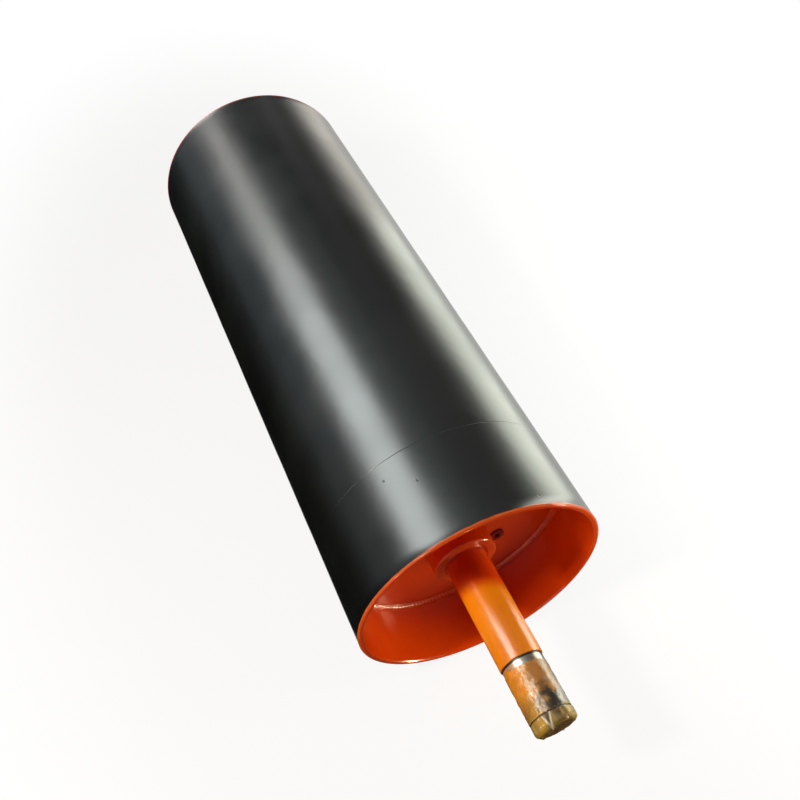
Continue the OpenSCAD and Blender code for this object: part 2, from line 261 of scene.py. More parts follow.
def enamel(name, dark, light, rough_low, rough_high, tool_marks=0.0, rim_shade=None):
    """Air-drying enamel, sprayed thick over mill plate, or over the fine tool marks of a turned bar.

    A rim shade, if given, is painted shade: a darker red on the bar inside the rims, whose edge slants across
    the bar where the rims' shadow ends.
    """
    material, tree, place = new_material(name)
    patches = add(tree, "ShaderNodeTexNoise", Vector=place, Scale=9.0, Detail=4.0, Roughness=0.6)
    spread = add(tree, "ShaderNodeMapRange", i0=patches.outputs["Fac"], i1=0.3, i2=0.7)
    tone = add(tree, "ShaderNodeMix", {"data_type": "RGBA"}, i0=spread.outputs[0],
               i6=linear(dark), i7=linear(light))
    colour = tone.outputs[2]
    if rim_shade:
        # painted shade inside the rims, blending into the lit colour across a slanted edge near them
        along = add(tree, "ShaderNodeSeparateXYZ", i0=place)
        height = add(tree, "ShaderNodeMath", {"operation": "ABSOLUTE"}, i0=along.outputs["Y"])
        slant = add(tree, "ShaderNodeMath", {"operation": "MULTIPLY_ADD"}, i0=along.outputs["X"], i1=-0.3,
                    i2=height.outputs[0])
        sprayed = add(tree, "ShaderNodeMapRange", {"interpolation_type": "SMOOTHSTEP"}, i0=slant.outputs[0],
                      i1=rim - 0.011, i2=rim + 0.028)
        colour = add(tree, "ShaderNodeMix", {"data_type": "RGBA"}, i0=sprayed.outputs[0],
                     i6=linear(rim_shade), i7=colour).outputs[2]
    # orange peel of about 3 mm, and the plate's own waves of about 40 mm
    peel = add(tree, "ShaderNodeTexNoise", Vector=place, Scale=330.0, Detail=2.0)
    waves = add(tree, "ShaderNodeTexNoise", Vector=place, Scale=26.0, Detail=3.0)
    peel_bump = add(tree, "ShaderNodeBump", Height=peel.outputs["Fac"], Strength=0.12, Distance=0.0005)
    wave_bump = add(tree, "ShaderNodeBump", Height=waves.outputs["Fac"], Strength=0.3, Distance=0.0012,
                    Normal=peel_bump.outputs[0])
    across = add(tree, "ShaderNodeMapping", Vector=place, Scale=(4.0, 1600.0, 4.0))
    marks = add(tree, "ShaderNodeTexNoise", Vector=across.outputs[0], Scale=1.0, Detail=1.0)
    mark_bump = add(tree, "ShaderNodeBump", Height=marks.outputs["Fac"], Strength=tool_marks, Distance=0.0004,
                    Normal=wave_bump.outputs[0])
    gloss = add(tree, "ShaderNodeMapRange", i0=spread.outputs[0], i3=rough_low, i4=rough_high)
    paint = add(tree, "ShaderNodeBsdfPrincipled", Base_Color=colour, Roughness=gloss.outputs[0],
                IOR=1.5, Normal=mark_bump.outputs[0])
    add(tree, "ShaderNodeOutputMaterial", Surface=paint.outputs[0])
    return material


# Alkyd enamel sprayed over mill plate: glossy, with a soft orange peel. Its deep red orange is darker and
# redder than the same enamel on the shaft, as painted shade for the recesses, where most of it is seen.
shade_darkened_enamel = enamel("orange_enamel_darkened_for_shade", "d84404", "e04c06", 0.12, 0.22)

rim_end = ([(bore_radius, disc_back), (register_radius, disc_back),
            (register_radius, disc_face - 0.012), (register_radius, rim - 0.05),
            (register_radius, rim - 1.3 * rim_bevel), (register_radius + rim_bevel, rim)]
           + arc((shell_radius - rim_round, rim - rim_round), rim_round, 90, 0))
shell = turned("shell_plate", rim_end + mirrored(rim_end) + rim_end[:1])
dress(shell, "orange_paint", [shade_darkened_enamel], "shell")


# ---- Seam weld ----------------------------------------------------------------------------------
# The rolled plate's lengthwise joint is welded with filler wire and ground back. Inside the rims it
# shows as a narrow strip that stands just proud of the bore, under the same enamel.
seam_angle = 62
strip_width = 0.012
strip_height = 0.0007


def copy_to_far_end(piece, name):
    """A copy of a near piece with its own mesh, mirrored to the far end."""
    bpy.ops.object.select_all(action="DESELECT")
    piece.select_set(True)
    bpy.context.view_layer.objects.active = piece
    bpy.ops.object.duplicate(linked=False)
    far = bpy.context.object
    far.name = name
    far.scale = (1, -1, 1)
    bpy.ops.object.transform_apply(location=True, rotation=True, scale=True)
    bpy.ops.object.mode_set(mode="EDIT")
    bpy.ops.mesh.select_all(action="SELECT")
    bpy.ops.mesh.normals_make_consistent(inside=False)
    bpy.ops.object.mode_set(mode="OBJECT")
    return far


def with_modifier(piece, kind, **settings):
    """Adds one modifier to a piece and applies it."""
    bpy.ops.object.select_all(action="DESELECT")
    piece.select_set(True)
    bpy.context.view_layer.objects.active = piece
    modifier = piece.modifiers.new(kind.lower(), kind)
    for name, value in settings.items():
        setattr(modifier, name, value)
    bpy.ops.object.modifier_apply(modifier=modifier.name)


# Two low strips, one in each recess. They are spun flat on the bore and then turned up to the seam.
strip_half = degrees(strip_width / 2 / register_radius)
strip_inner = register_radius - strip_height
strip_from = disc_face + 0.0095
strip_to = rim - 0.003
seam_near = turned("seam_strip_near",
                   [(register_radius, -strip_to), (register_radius, -strip_from), (strip_inner, -strip_from),
                    (strip_inner, -strip_to), (register_radius, -strip_to)],
                   steps=8, sweep=2 * strip_half)
seam_near.rotation_euler = (0, -radians(seam_angle + strip_half), 0)
bpy.ops.object.transform_apply(location=True, rotation=True, scale=True)
with_modifier(seam_near, "BEVEL", width=0.0004, segments=2, limit_method="ANGLE")
seam_far = copy_to_far_end(seam_near, "seam_strip_far")
dress(seam_near, "orange_paint", [shade_darkened_enamel], "shell_seam_weld")
dress(seam_far, "orange_paint", [shade_darkened_enamel])


# ---- End discs ----------------------------------------------------------------------------------
# Flat steel plate discs, cut round and bevelled for their welds. They are welded into the shell's
# registers and round the hubs. Their solids are right as they are, and take the enamel.
for name in ("end_disc_near", "end_disc_far"):
    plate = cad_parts[name]
    plate.data.materials.clear()
    plate.data.materials.append(shade_darkened_enamel)


# ---- Welds round the discs ----------------------------------------------------------------------
# Fillet welds laid by hand, in one pass, with the pulley turned under the torch. The crown carries a
# crescent ripple every few millimetres, and the enamel lies over it and rounds it off.
disc_weld_leg = 0.009
hub_weld_leg = 0.010
weld_crown = 0.0012
weld_lag = 0.0030                             # how far the middle of each ripple lags behind its ends
disc_prep = 0.005
weld_gap = 0.0002
hub_radius = 0.066
crown_points = 10


def weld_bead(name, disc_toe, wall_toe, root, pitch):
    """Ring of weld from its toe on the disc, over the crown to its toe on the wall, and back by its root."""
    crown = []
    span = sqrt((wall_toe[0] - disc_toe[0]) ** 2 + (wall_toe[1] - disc_toe[1]) ** 2)
    out = ((wall_toe[1] - disc_toe[1]) / span, -(wall_toe[0] - disc_toe[0]) / span)
    if out[1] > 0:
        out = (-out[0], -out[1])
    for i in range(crown_points + 1):
        u = i / crown_points
        swell = 4 * u * (1 - u)
        crown.append((disc_toe[0] + u * (wall_toe[0] - disc_toe[0]) + out[0] * weld_crown * swell,
                      disc_toe[1] + u * (wall_toe[1] - disc_toe[1]) + out[1] * weld_crown * swell,
                      weld_lag * swell))
    ripples = round(2 * pi * wall_toe[0] / pitch)
    bead = turned(name, crown + root + crown[:1], steps=4 * ripples)

    # every fourth ring of the crown is pressed in, and the ring halfway between is raised a little
    top = crown[1:-1]
    rings = {0: [], 2: []}
    raised = bead.vertex_groups.new(name="crown")
    for v in bead.data.vertices:
        radius = sqrt(v.co.x ** 2 + v.co.z ** 2)
        for r, y, lag in top:
            if abs(y - v.co.y) < 0.00002 and abs(sqrt(r * r + lag * lag) - radius) < 0.00002:
                turn = (atan2(v.co.z, v.co.x) - atan2(lag, r)) / (2 * pi) * 4 * ripples
                raised.add([v.index], lag / weld_lag, "REPLACE")
                if round(turn) % 4 in rings:
                    rings[round(turn) % 4].append(v.index)
    for place, height in ((0, -0.0007), (2, 0.0002)):
        for v in bead.data.vertices:
            v.select = False
        for e in bead.data.edges:
            e.select = False
        for f in bead.data.polygons:
            f.select = False
        for index in rings[place]:
            bead.data.vertices[index].select = True
        bpy.ops.object.mode_set(mode="EDIT")
        bpy.ops.transform.shrink_fatten(value=height)
        bpy.ops.object.mode_set(mode="OBJECT")

    # the hand's own unevenness
    uneven = bpy.data.textures.new(name + "_unevenness", "CLOUDS")
    uneven.noise_scale = 0.014
    uneven.noise_depth = 2
    with_modifier(bead, "DISPLACE", texture=uneven, strength=0.0018, mid_level=0.5,
                  vertex_group="crown", texture_coords="LOCAL")
    return bead


disc_radius = register_radius - weld_gap
disc_weld = weld_bead("disc_weld_bead_near", (register_radius - disc_weld_leg, -disc_face),
                      (register_radius, -(disc_face + disc_weld_leg)),
                      [(register_radius, -(disc_face - disc_prep)), (disc_radius, -(disc_face - disc_prep)),
                       (disc_radius - disc_prep, -disc_face)], 0.0085)
disc_weld_far = copy_to_far_end(disc_weld, "disc_weld_bead_far")

# The same enamel, with the same painted shade in its red, over the beads' ripples, a little duller than on
# plate, so that its glints spread.
bead_enamel = enamel("shade_darkened_enamel_on_beads", "d84404", "e04c06", 0.20, 0.26)
dress(disc_weld, "orange_paint", [bead_enamel], "disc_weld_near")
dress(disc_weld_far, "orange_paint", [bead_enamel], "disc_weld_far")

hub_weld = weld_bead("hub_weld_bead_near", (hub_radius + hub_weld_leg, -disc_face),
                     (hub_radius, -(disc_face + hub_weld_leg)),
                     [(hub_radius, -(disc_face - disc_prep)),
                      (hub_radius + weld_gap, -(disc_face - disc_prep)),
                      (hub_radius + weld_gap + disc_prep, -disc_face)], 0.0075)
hub_weld_far = copy_to_far_end(hub_weld, "hub_weld_bead_far")
dress(hub_weld, "orange_paint", [bead_enamel], "hub_outer_weld_near")
dress(hub_weld_far, "orange_paint", [bead_enamel], "hub_outer_weld_far")

# The welds on the discs' inner faces are closed in for good, and keep their plain solids.
for name in ("hub_inner_weld_near", "hub_inner_weld_far"):
    inner_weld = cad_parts[name]
    inner_weld.data.materials.clear()
    inner_weld.data.materials.append(shade_darkened_enamel)


# ---- Hubs ---------------------------------------------------------------------------------------
# Turned steel hubs, shrunk onto the shaft over their keys. The keyway is broached right through, so
# it shows as a slot in the hub's face, under the enamel.
hub_low, hub_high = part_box("hub_near")
hub_face = -hub_low.y
hub_back = -hub_high.y
hub_round = 0.004
hub_chamfer = 0.003
seat_radius = 0.045
keyway_width = 0.02504
keyway_radius = 0.0504
key_floor = 0.036


def cut(piece, cutter):
    """Cuts one shape out of a piece, and takes the shape away."""
    with_modifier(piece, "BOOLEAN", object=cutter, operation="DIFFERENCE", solver="EXACT")
    bpy.data.objects.remove(cutter)


hub = turned("hub_ring_near",
             [(seat_radius, -(hub_back + hub_chamfer)), (seat_radius, -(hub_face - hub_chamfer)),
              (seat_radius + hub_chamfer, -hub_face)]
             + arc((hub_radius - hub_round, -(hub_face - hub_round)), hub_round, -90, 0, 8)
             + arc((hub_radius - hub_round, -(hub_back + hub_round)), hub_round, 0, 90, 8)
             + [(seat_radius + hub_chamfer, -hub_back), (seat_radius, -(hub_back + hub_chamfer))], steps=128)
bpy.ops.object.select_all(action="DESELECT")
bpy.ops.mesh.primitive_cube_add(size=1, location=(0, -(hub_face + hub_back) / 2, -keyway_radius / 2 - 0.01))
broach = bpy.context.object
broach.scale = (keyway_width, hub_face - hub_back + 0.02, keyway_radius - 0.02)
bpy.ops.object.transform_apply(location=True, rotation=True, scale=True)
cut(hub, broach)
with_modifier(hub, "BEVEL", width=0.0003, segments=2, limit_method="ANGLE", angle_limit=radians(60))
hub_far = copy_to_far_end(hub, "hub_ring_far")
dress(hub, "orange_paint", [shade_darkened_enamel], "hub_near")
dress(hub_far, "orange_paint", [shade_darkened_enamel], "hub_far")


# ---- Vent plug ----------------------------------------------------------------------------------
# Black oxide steel plug with a hexagon socket, screwed into the near disc once the drum has been
# welded and tested. The drum was sprayed with the plug in place, so enamel covers most of the oxide.
plug_low, plug_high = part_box("vent_plug")
plug_x = (plug_low.x + plug_high.x) / 2
plug_z = (plug_low.z + plug_high.z) / 2
plug_collar_radius = (plug_high.x - plug_low.x) / 2
plug_top = -plug_low.y
plug_end = -plug_high.y
plug_thread_radius = 0.0132
plug_edge = 0.0008
socket_flats = 0.012
socket_depth = 0.009

plug = turned("vent_plug_turned",
              [(0, -plug_top)]
              + arc((plug_collar_radius - plug_edge, -(plug_top - plug_edge)), plug_edge, -90, 0, 4)
              + [(plug_collar_radius, -disc_face), (plug_thread_radius, -disc_face),
                 (plug_thread_radius, -(plug_end + 0.0015)), (plug_thread_radius - 0.0015, -plug_end),
                 (0, -plug_end)], steps=64)
plug.location = (plug_x, 0, plug_z)
bpy.ops.object.transform_apply(location=True, rotation=True, scale=True)
bpy.ops.object.select_all(action="DESELECT")
bpy.ops.mesh.primitive_cylinder_add(vertices=6, radius=socket_flats / sqrt(3), depth=2 * socket_depth,
                                    location=(plug_x, -plug_top, plug_z), rotation=(pi / 2, 0, 0))
bpy.ops.object.transform_apply(location=True, rotation=True, scale=True)
cut(plug, bpy.context.object)
with_modifier(plug, "BEVEL", width=0.0003, segments=2, limit_method="ANGLE", angle_limit=radians(50))

# Enamel thinly over black oxide: a deep glossy red that turns brown where the black shows through. Its red,
# darker than the disc's enamel round it, is partly painted shade.
oxide_enamel_and_shade, tree, place = new_material("enamel_over_oxide_and_painted_shade")
wear = add(tree, "ShaderNodeTexNoise", Vector=place, Scale=160.0, Detail=3.0)
tone = add(tree, "ShaderNodeMix", {"data_type": "RGBA"}, i0=wear.outputs["Fac"],
           i6=linear("5a1408"), i7=linear("8c2410"))
oxide = add(tree, "ShaderNodeBsdfPrincipled", Base_Color=tone.outputs[2], Roughness=0.22, Metallic=0.0)
add(tree, "ShaderNodeOutputMaterial", Surface=oxide.outputs[0])
dress(plug, "plug_steel", [oxide_enamel_and_shade], "vent_plug")


# ---- Shaft --------------------------------------------------------------------------------------
# One turned bar of medium carbon steel. It is sprayed orange from each hub out to the journal's shoulder. The
# journals are ground bright, and the relief and the ring groove are coloured nearly black, as painted shade
# in these narrow grooves.
shaft_end = -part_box("shaft")[0].y
journal_radius = 0.040
journal_shoulder = shaft_end - 0.124
end_chamfer = 0.003
relief_width = 0.004
relief_depth = 0.0006
groove_inner = journal_shoulder + relief_width + 0.100
groove_outer = groove_inner + 0.00265
groove_depth = 0.00175
outboard_radius = 0.0425
middle_radius = 0.053
shoulder_chamfer = 0.001
seat_fillet = 0.002
seat_end = hub_face - hub_chamfer
seat_step = seat_radius - outboard_radius
key_width = 0.025
key_length = 0.080
centre_mouth = 0.0105
centre_pilot = 0.005
centre_depth = 0.028
centre_cone = (centre_mouth - centre_pilot) / tan(radians(30))

shaft_half = (
    [(0, shaft_end - centre_depth), (centre_pilot, shaft_end - centre_depth),
     (centre_pilot, shaft_end - centre_cone), (centre_mouth, shaft_end),
     (journal_radius - end_chamfer, shaft_end), (journal_radius, shaft_end - end_chamfer),
     (journal_radius, groove_outer), (journal_radius - groove_depth, groove_outer),
     (journal_radius - groove_depth, groove_inner), (journal_radius, groove_inner),
     (journal_radius, journal_shoulder + relief_width),
     (journal_radius - relief_depth, journal_shoulder + relief_width),
     (journal_radius - relief_depth, journal_shoulder),
     (outboard_radius - shoulder_chamfer, journal_shoulder),
     (outboard_radius, journal_shoulder - shoulder_chamfer)]
    + arc((seat_radius, seat_end + seat_step), seat_step, 180, 270)
    + arc((seat_radius + seat_fillet, hub_back + seat_fillet), seat_fillet, 180, 270)
    + [(middle_radius - shoulder_chamfer, hub_back), (middle_radius, hub_back - shoulder_chamfer)])
shaft = turned("shaft_bar", shaft_half + mirrored(shaft_half), steps=128)


def key_block(name, middle, low, high):
    """Round-ended block across the bottom of the shaft, between two distances from its axis."""
    bpy.ops.object.select_all(action="DESELECT")
    bpy.ops.mesh.primitive_cylinder_add(vertices=48, radius=key_width / 2, depth=high - low,
                                        location=(0, middle, -(low + high) / 2))
    block = bpy.context.object
    block.name = name
    bpy.ops.object.transform_apply(location=True, rotation=True, scale=True)
    for side in (-1, 1):
        for part in (block.data.vertices, block.data.edges, block.data.polygons):
            for element in part:
                element.select = False
        for v in block.data.vertices:
            v.select = (v.co.y - middle) * side > 0.00001
        bpy.ops.object.mode_set(mode="EDIT")
        bpy.ops.transform.translate(value=(0, side * (key_length - key_width) / 2, 0))
        bpy.ops.object.mode_set(mode="OBJECT")
    return block


key_middle = (hub_face + hub_back) / 2
for side in (-1, 1):
    cut(shaft, key_block("keyway_cut", side * key_middle, key_floor, seat_radius + 0.02))

# The same enamel in its yellower colour, as it looks in full light, sprayed on the shaft outside the rims.
# Inside them the shaft takes a darker red as painted shade, where the rims shade it.
yellow_orange_enamel = enamel("sprayed_yellow_orange_enamel", "e07e06", "e88a08", 0.18, 0.26, tool_marks=0.4,
                              rim_shade="cc3c04")

# Cylindrically ground steel: bright, with fine lines round the journal. Lines of 0.4 mm stand for the real
# ones, which are ten times finer. A thin amber film of rust preventive oil lies over it in patches, and the
# journal's left side is amber and less metallic.
ground_steel, tree, place = new_material("ground_steel")
lathe_lines = add(tree, "ShaderNodeMapping", Vector=place, Scale=(6.0, 2500.0, 6.0))
lines = add(tree, "ShaderNodeTexNoise", Vector=lathe_lines.outputs[0], Scale=1.0, Detail=2.0)
line_bump = add(tree, "ShaderNodeBump", Height=lines.outputs["Fac"], Strength=0.12, Distance=0.00006)
oil = add(tree, "ShaderNodeTexNoise", Vector=place, Scale=34.0, Detail=3.0, Roughness=0.55)
oil_share = add(tree, "ShaderNodeMapRange", i0=oil.outputs["Fac"], i1=0.35, i2=0.6, i3=0.1, i4=0.7)
tone = add(tree, "ShaderNodeMix", {"data_type": "RGBA"}, i0=oil_share.outputs[0],
           i6=linear("a8a6a2"), i7=linear("7c5c38"))
across = add(tree, "ShaderNodeSeparateXYZ", i0=place)
left_side_amber = add(tree, "ShaderNodeMapRange", i0=across.outputs["X"], i1=-0.036, i2=-0.018, i3=0.8, i4=0.0)
tone = add(tree, "ShaderNodeMix", {"data_type": "RGBA"}, i0=left_side_amber.outputs[0], i6=tone.outputs[2],
           i7=linear("c88230"))
bare = add(tree, "ShaderNodeMath", {"operation": "SUBTRACT"}, i0=1.0, i1=left_side_amber.outputs[0])
steel = add(tree, "ShaderNodeBsdfPrincipled", Base_Color=tone.outputs[2], Roughness=0.31,
            Metallic=bare.outputs[0], Normal=line_bump.outputs[0])
add(tree, "ShaderNodeOutputMaterial", Surface=steel.outputs[0])

# Painted shade for the relief and the ring groove: nearly black, and wet to the eye.
groove_painted_shade, tree, place = new_material("groove_painted_shade")
groove_shade_shader = add(tree, "ShaderNodeBsdfPrincipled", Base_Color=linear("120e0a"), Roughness=0.3, IOR=1.47)
add(tree, "ShaderNodeOutputMaterial", Surface=groove_shade_shader.outputs[0])

for face in shaft.data.polygons:
    height = abs(face.center.y)
    face.material_index = 0
    if height > journal_shoulder + 0.0001 or height < hub_face - 0.004:
        face.material_index = 1
    if journal_shoulder + 0.0001 < height < journal_shoulder + relief_width + 0.0001:
        face.material_index = 2
    if groove_inner - 0.0001 < height < groove_outer + 0.0001:
        face.material_index = 2
face_materials = [face.material_index for face in shaft.data.polygons]
dress(shaft, "shaft_steel", [yellow_orange_enamel, ground_steel, groove_painted_shade], "shaft")
for face, index in zip(shaft.data.polygons, face_materials):
    face.material_index = index


# ---- Keys ---------------------------------------------------------------------------------------
# Round-ended parallel keys of bright drawn steel, bedded in the shaft and closed in by the hubs.
key_steel, tree, place = new_material("bright_drawn_key_steel")
drawn = add(tree, "ShaderNodeMapping", Vector=place, Scale=(900.0, 8.0, 900.0))
draw_lines = add(tree, "ShaderNodeTexNoise", Vector=drawn.outputs[0], Scale=1.0, Detail=2.0)
draw_bump = add(tree, "ShaderNodeBump", Height=draw_lines.outputs["Fac"], Strength=0.2, Distance=0.0001)
drawn_steel = add(tree, "ShaderNodeBsdfPrincipled", Base_Color=linear("8c8c8e"), Roughness=0.34, Metallic=1.0,
                  Normal=draw_bump.outputs[0])
add(tree, "ShaderNodeOutputMaterial", Surface=drawn_steel.outputs[0])
for name in ("key_near", "key_far"):
    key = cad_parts[name]
    key.data.materials.clear()
    key.data.materials.append(key_steel)


# ---- Rubber cover -------------------------------------------------------------------------------
# Plain natural rubber sheet, 3 mm thick, cold bonded round the shell in two widths that butt against
# each other. It follows the plate in slow waves, and its edges are rolled down at the rims.
cover_radius = (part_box("lagging_sheet")[1].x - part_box("lagging_sheet")[0].x) / 2
cover_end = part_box("lagging_sheet")[1].y
cover_joint = -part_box("lagging_sheet")[0].y
cover_round = 0.0015
cover_bevel = 0.0006
wave_pitch = 0.02


def cover_face(start, end):
    """Stations along the outside of the cover between two heights, for its waves to bend it at."""
    count = round(abs(end - start) / wave_pitch)
    return [(cover_radius, start + (end - start) * i / count) for i in range(1, count)]


def lay_on_shell(cover, name, joint_angle):
    """Cuts the fine V of the lengthwise joint, and lets the outside of the cover wave a little."""
    bpy.ops.object.select_all(action="DESELECT")
    bpy.ops.mesh.primitive_cube_add(size=1, rotation=(0, pi / 4, 0))
    groove = bpy.context.object
    groove.scale = (cover_bevel * sqrt(2), 1.6, cover_bevel * sqrt(2))
    bpy.ops.object.transform_apply(location=True, rotation=True, scale=True)
    groove.location = (cover_radius * cos(radians(joint_angle)), 0, cover_radius * sin(radians(joint_angle)))
    groove.rotation_euler = (0, -radians(joint_angle), 0)
    bpy.ops.object.transform_apply(location=True, rotation=True, scale=True)
    cut(cover, groove)
    outside = cover.vertex_groups.new(name="outside")
    face = [v.index for v in cover.data.vertices if sqrt(v.co.x ** 2 + v.co.z ** 2) > cover_radius - 0.00001]
    outside.add(face, 1.0, "REPLACE")
    waves = bpy.data.textures.new(name + "_waves", "CLOUDS")
    waves.noise_scale = 0.11
    waves.noise_depth = 1
    with_modifier(cover, "DISPLACE", texture=waves, strength=0.0007, mid_level=1.0,
                  vertex_group="outside", texture_coords="LOCAL")


sheet = turned("rubber_sheet",
               [(shell_radius, cover_end)]
               + arc((cover_radius - cover_round, cover_end - cover_round), cover_round, 90, 0)
               + cover_face(cover_end - cover_round, -cover_joint + cover_bevel)
               + [(cover_radius, -cover_joint + cover_bevel), (cover_radius - cover_bevel, -cover_joint),
                  (shell_radius, -cover_joint), (shell_radius, cover_end)])
lay_on_shell(sheet, "rubber_sheet", 285)
strip = turned("rubber_strip",
               [(shell_radius, -cover_joint), (cover_radius - cover_bevel, -cover_joint),
                (cover_radius, -cover_joint - cover_bevel)]
               + cover_face(-cover_joint - cover_bevel, -cover_end + cover_round)
               + arc((cover_radius - cover_round, -cover_end + cover_round), cover_round, 0, -90)
               + [(shell_radius, -cover_end), (shell_radius, -cover_joint)])
lay_on_shell(strip, "rubber_strip", 250)

# Vulcanised natural rubber, smooth from its calender: black with a green grey cast, and satin. Handling
# leaves cloudy patches of bloom that dull the shine a little, and three small nicks near the end. The
# sheet is a little uneven every 35 mm or so, which makes the edges of its highlights wander.
smooth_rubber, tree, place = new_material("calendered_black_rubber")
bloom = add(tree, "ShaderNodeTexNoise", Vector=place, Scale=5.5, Detail=2.0, Roughness=0.5)
bloom_share = add(tree, "ShaderNodeMapRange", {"interpolation_type": "SMOOTHSTEP"}, i0=bloom.outputs["Fac"],
                  i1=0.28, i2=0.72)
tone = add(tree, "ShaderNodeMix", {"data_type": "RGBA"}, i0=bloom_share.outputs[0],
           i6=linear("080a0a"), i7=linear("0c0f0e"))
gloss = add(tree, "ShaderNodeMapRange", i0=bloom_share.outputs[0], i3=0.28, i4=0.34)
uneven = add(tree, "ShaderNodeTexNoise", Vector=place, Scale=28.0, Detail=1.0)
uneven_bump = add(tree, "ShaderNodeBump", Height=uneven.outputs["Fac"], Strength=0.07, Distance=0.003)
nicks = None
for angle, height in ((121, -0.535), (108.5, -0.571), (66, -0.679)):
    nick_place = (cover_radius * cos(radians(angle)), height, cover_radius * sin(radians(angle)))
    apart = add(tree, "ShaderNodeVectorMath", {"operation": "DISTANCE"}, i0=place, i1=nick_place)
    depth = add(tree, "ShaderNodeMapRange", {"interpolation_type": "SMOOTHSTEP"}, i0=apart.outputs["Value"],
                i1=0.0008, i2=0.0026, i3=1.0, i4=0.0)
    nicks = depth.outputs[0] if nicks is None else add(
        tree, "ShaderNodeMath", {"operation": "MAXIMUM"}, i0=nicks, i1=depth.outputs[0]).outputs[0]
nick_bump = add(tree, "ShaderNodeBump", {"invert": True}, Height=nicks, Strength=0.9, Distance=0.0008,
                Normal=uneven_bump.outputs[0])
nicked = add(tree, "ShaderNodeMix", {"data_type": "RGBA"}, i0=nicks, i6=tone.outputs[2], i7=linear("050606"))
# ragged overspray of the rims' enamel on the cover's end faces and last millimetres: 3 mm at the near end, in
# a lighter orange and on its upper side only, and 6 mm at the far end, in a darker red that is painted shade
parts = add(tree, "ShaderNodeSeparateXYZ", i0=place)
height = add(tree, "ShaderNodeMath", {"operation": "ABSOLUTE"}, i0=parts.outputs["Y"])
far_end = add(tree, "ShaderNodeMath", {"operation": "GREATER_THAN"}, i0=parts.outputs["Y"], i1=0.0)
height = add(tree, "ShaderNodeMath", {"operation": "MULTIPLY_ADD"}, i0=far_end.outputs[0], i1=0.003,
             i2=height.outputs[0])
ragged = add(tree, "ShaderNodeTexNoise", Vector=place, Scale=60.0, Detail=3.0)
ragged = add(tree, "ShaderNodeMath", {"operation": "MULTIPLY_ADD"}, i0=ragged.outputs["Fac"], i1=0.003,
             i2=height.outputs[0])
overspray = add(tree, "ShaderNodeMapRange", i0=ragged.outputs[0],
                i1=cover_end - 0.0015, i2=cover_end + 0.0005)
upper = add(tree, "ShaderNodeMapRange", i0=parts.outputs["Z"], i1=-0.14, i2=-0.06)
upper = add(tree, "ShaderNodeMath", {"operation": "MAXIMUM"}, i0=upper.outputs[0], i1=far_end.outputs[0])
overspray = add(tree, "ShaderNodeMath", {"operation": "MULTIPLY"}, i0=overspray.outputs[0],
                i1=upper.outputs[0])
sprayed = add(tree, "ShaderNodeMix", {"data_type": "RGBA"}, i0=far_end.outputs[0], i6=linear("e8640c"),
              i7=linear("a8340a"))
edged = add(tree, "ShaderNodeMix", {"data_type": "RGBA"}, i0=overspray.outputs[0], i6=nicked.outputs[2],
            i7=sprayed.outputs[2])
rubber = add(tree, "ShaderNodeBsdfPrincipled", Base_Color=edged.outputs[2], Roughness=gloss.outputs[0],
             IOR=1.5, Normal=nick_bump.outputs[0])
add(tree, "ShaderNodeOutputMaterial", Surface=rubber.outputs[0])
dress(sheet, "cover_rubber", [smooth_rubber], "lagging_sheet")
dress(strip, "cover_rubber", [smooth_rubber], "lagging_strip")


# ---- Film on the journals -----------------------------------------------------------------------
# Thin clear plastic film wound once round each greased journal to keep it from rust on its way to the
# conveyor. It clings to the grease, and its free width is gathered in pleats over the shaft's end.
film_start = journal_shoulder + 0.017
film_radius = journal_radius + 0.0003
face_radius = 0.036                           # the flat part of the film over the shaft's end
along_journal = groove_inner - 0.001 - film_start
past_groove = shaft_end - end_chamfer - 0.001 - groove_outer
film_outline = [(film_radius, film_start)]
film_outline += [(film_radius, film_start + along_journal * i / 40) for i in range(1, 41)]
film_outline += [(film_radius - 0.0006, groove_inner + 0.0004),
                 (film_radius - 0.0009, (groove_inner + groove_outer) / 2),
                 (film_radius - 0.0006, groove_outer - 0.0004), (film_radius, groove_outer + 0.001)]
film_outline += [(film_radius, groove_outer + 0.001 + past_groove * i / 8) for i in range(1, 9)]
film_outline += [(film_radius - 0.0012, shaft_end - 0.0014), (film_radius - 0.003, shaft_end + 0.0002)]
film_outline += [(face_radius - 0.002 * i, shaft_end + 0.0007) for i in range(17)]
film_outline += [(0, shaft_end + 0.0010)]
film = turned("journal_film_near", [(r, -y) for r, y in film_outline], steps=300)

